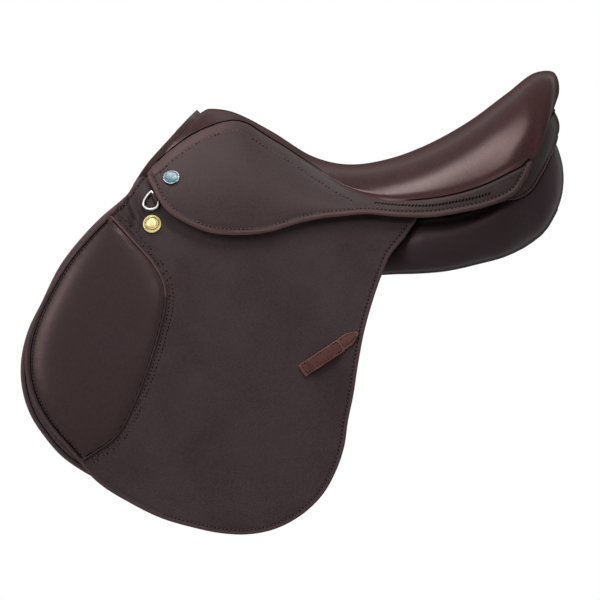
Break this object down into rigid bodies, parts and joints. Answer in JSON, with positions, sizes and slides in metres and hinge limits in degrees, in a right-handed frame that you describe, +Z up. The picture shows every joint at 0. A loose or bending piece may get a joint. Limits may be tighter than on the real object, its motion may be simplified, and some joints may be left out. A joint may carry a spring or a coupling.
{
  "type": "pony saddle",
  "caption": "Forward cut jumping saddle for a pony, with a deep seat, long flaps with puffed knee inserts, and a tree with open stirrup bars.",
  "frame": {"origin": "on the centre plane below the lowest point of the seat, at the height where the rear of the panel bears on the horse's back", "axes": "+X from the pommel to the cantle, -Y the near (left) side, +Z up"},
  "size_m": [0.5645, 0.3836, 0.4831],
  "materials": {
    "brass": "pale polished brass",
    "enamel": "blue-green enamel on brass, plain",
    "flap_leather": "pebble grained, matte",
    "foam": "firm seat foam in a cloth cover",
    "keeper_leather": "smooth red brown strap leather",
    "nickel": "bright nickel plate",
    "panel_leather": "smooth panel hide, semi-matte",
    "saddle_leather": "smooth semi-gloss bridle leather, edges a little redder",
    "seat_calf": "soft smooth calf, semi-gloss",
    "steel": "forged and tempered steel, dull",
    "tree_beech": "laminated beech, sealed",
    "webbing": "natural jute webbing"
  },
  "bodies": {
    "saddle_body": {"cantle_facing": "saddle_leather", "catch_pin_left": "steel", "catch_pin_right": "steel", "girth_web_left": "webbing", "girth_web_right": "webbing", "gullet_plate": "steel", "head_plate": "steel", "knee_block_left": "seat_calf", "knee_block_right": "seat_calf", "panel_left": "panel_leather", "panel_right": "panel_leather", "pommel_facing": "saddle_leather", "seat_foam": "foam", "seat_leather": "seat_calf", "seat_web": "webbing", "skirt_nail_left": "enamel", "skirt_nail_right": "enamel", "skirt_top_left": "saddle_leather", "skirt_top_right": "saddle_leather", "spring_rail_left": "steel", "spring_rail_right": "steel", "stirrup_bar_left": "steel", "stirrup_bar_right": "steel", "sweat_flap_left": "flap_leather", "sweat_flap_right": "flap_leather", "thigh_block_left": "seat_calf", "thigh_block_right": "seat_calf", "tree_head": "tree_beech", "tree_seat_frame": "tree_beech"},
    "flap_body_left": {"flap_left": "flap_leather", "knee_insert_left": "seat_calf", "keeper_left": "keeper_leather", "keeper_tab_left": "keeper_leather", "flap_stud_left": "brass", "ring_chape_left": "saddle_leather"},
    "skirt_body_left": {"skirt_left": "saddle_leather"},
    "ring_body_left": {"d_ring_left": "nickel"},
    "catch_body_left": {"bar_catch_left": "steel"},
    "strap_body_front_left": {"girth_strap_front_left": "flap_leather"},
    "strap_body_middle_left": {"girth_strap_middle_left": "flap_leather"},
    "strap_body_rear_left": {"girth_strap_rear_left": "flap_leather"},
    "flap_body_right": {"flap_right": "flap_leather", "knee_insert_right": "seat_calf", "keeper_right": "keeper_leather", "keeper_tab_right": "keeper_leather", "flap_stud_right": "brass", "ring_chape_right": "saddle_leather"},
    "skirt_body_right": {"skirt_right": "saddle_leather"},
    "ring_body_right": {"d_ring_right": "nickel"},
    "catch_body_right": {"bar_catch_right": "steel"},
    "strap_body_front_right": {"girth_strap_front_right": "flap_leather"},
    "strap_body_middle_right": {"girth_strap_middle_right": "flap_leather"},
    "strap_body_rear_right": {"girth_strap_rear_right": "flap_leather"}
  },
  "joints": [
    {"name": "flap_left_lift", "type": "hinge", "parent": "saddle_body", "child": "flap_body_left", "pos_m": [-0.09, -0.11278, 0.077], "axis": [-0.9891, 0.0963, 0.1118], "range_deg": [0, 65]},
    {"name": "skirt_left_lift", "type": "hinge", "parent": "saddle_body", "child": "skirt_body_left", "pos_m": [-0.09, -0.11278, 0.077], "axis": [-0.9891, 0.0963, 0.1118], "range_deg": [0, 65]},
    {"name": "d_ring_left_swing", "type": "hinge", "parent": "flap_body_left", "child": "ring_body_left", "pos_m": [-0.2025, -0.09751, 0.07825], "axis": [-0.4426, 0.4518, 0.7746], "range_deg": [0, 70]},
    {"name": "bar_catch_left_flip", "type": "hinge", "parent": "saddle_body", "child": "catch_body_left", "pos_m": [-0.099, -0.0793, 0.095], "axis": [0, -1, 0], "range_deg": [0, 35]},
    {"name": "girth_strap_front_left_swing", "type": "hinge", "parent": "saddle_body", "child": "strap_body_front_left", "pos_m": [-0.109, -0.10838, 0.032], "axis": [0, 0.97, -0.2431], "range_deg": [-2, 2]},
    {"name": "girth_strap_middle_left_swing", "type": "hinge", "parent": "saddle_body", "child": "strap_body_middle_left", "pos_m": [-0.076, -0.10923, 0.032], "axis": [0, 0.97, -0.2431], "range_deg": [-2, 2]},
    {"name": "girth_strap_rear_left_swing", "type": "hinge", "parent": "saddle_body", "child": "strap_body_rear_left", "pos_m": [-0.043, -0.10988, 0.032], "axis": [0, 0.97, -0.2431], "range_deg": [-2, 2]},
    {"name": "flap_right_lift", "type": "hinge", "parent": "saddle_body", "child": "flap_body_right", "pos_m": [-0.09, 0.11278, 0.077], "axis": [0.9891, 0.0963, -0.1118], "range_deg": [0, 65]},
    {"name": "skirt_right_lift", "type": "hinge", "parent": "saddle_body", "child": "skirt_body_right", "pos_m": [-0.09, 0.11278, 0.077], "axis": [0.9891, 0.0963, -0.1118], "range_deg": [0, 65]},
    {"name": "d_ring_right_swing", "type": "hinge", "parent": "flap_body_right", "child": "ring_body_right", "pos_m": [-0.2025, 0.09751, 0.07825], "axis": [0.4426, 0.4518, -0.7746], "range_deg": [0, 70]},
    {"name": "bar_catch_right_flip", "type": "hinge", "parent": "saddle_body", "child": "catch_body_right", "pos_m": [-0.099, 0.0793, 0.095], "axis": [0, -1, 0], "range_deg": [0, 35]},
    {"name": "girth_strap_front_right_swing", "type": "hinge", "parent": "saddle_body", "child": "strap_body_front_right", "pos_m": [-0.109, 0.10838, 0.032], "axis": [0, 0.97, 0.2431], "range_deg": [-2, 2]},
    {"name": "girth_strap_middle_right_swing", "type": "hinge", "parent": "saddle_body", "child": "strap_body_middle_right", "pos_m": [-0.076, 0.10923, 0.032], "axis": [0, 0.97, 0.2431], "range_deg": [-2, 2]},
    {"name": "girth_strap_rear_right_swing", "type": "hinge", "parent": "saddle_body", "child": "strap_body_rear_right", "pos_m": [-0.043, 0.10988, 0.032], "axis": [0, 0.97, 0.2431], "range_deg": [-2, 2]}
  ],
  "couplings": [
    {"joint": "skirt_left_lift", "follows": "flap_left_lift", "ratio": 1},
    {"joint": "skirt_right_lift", "follows": "flap_right_lift", "ratio": 1}
  ]
}
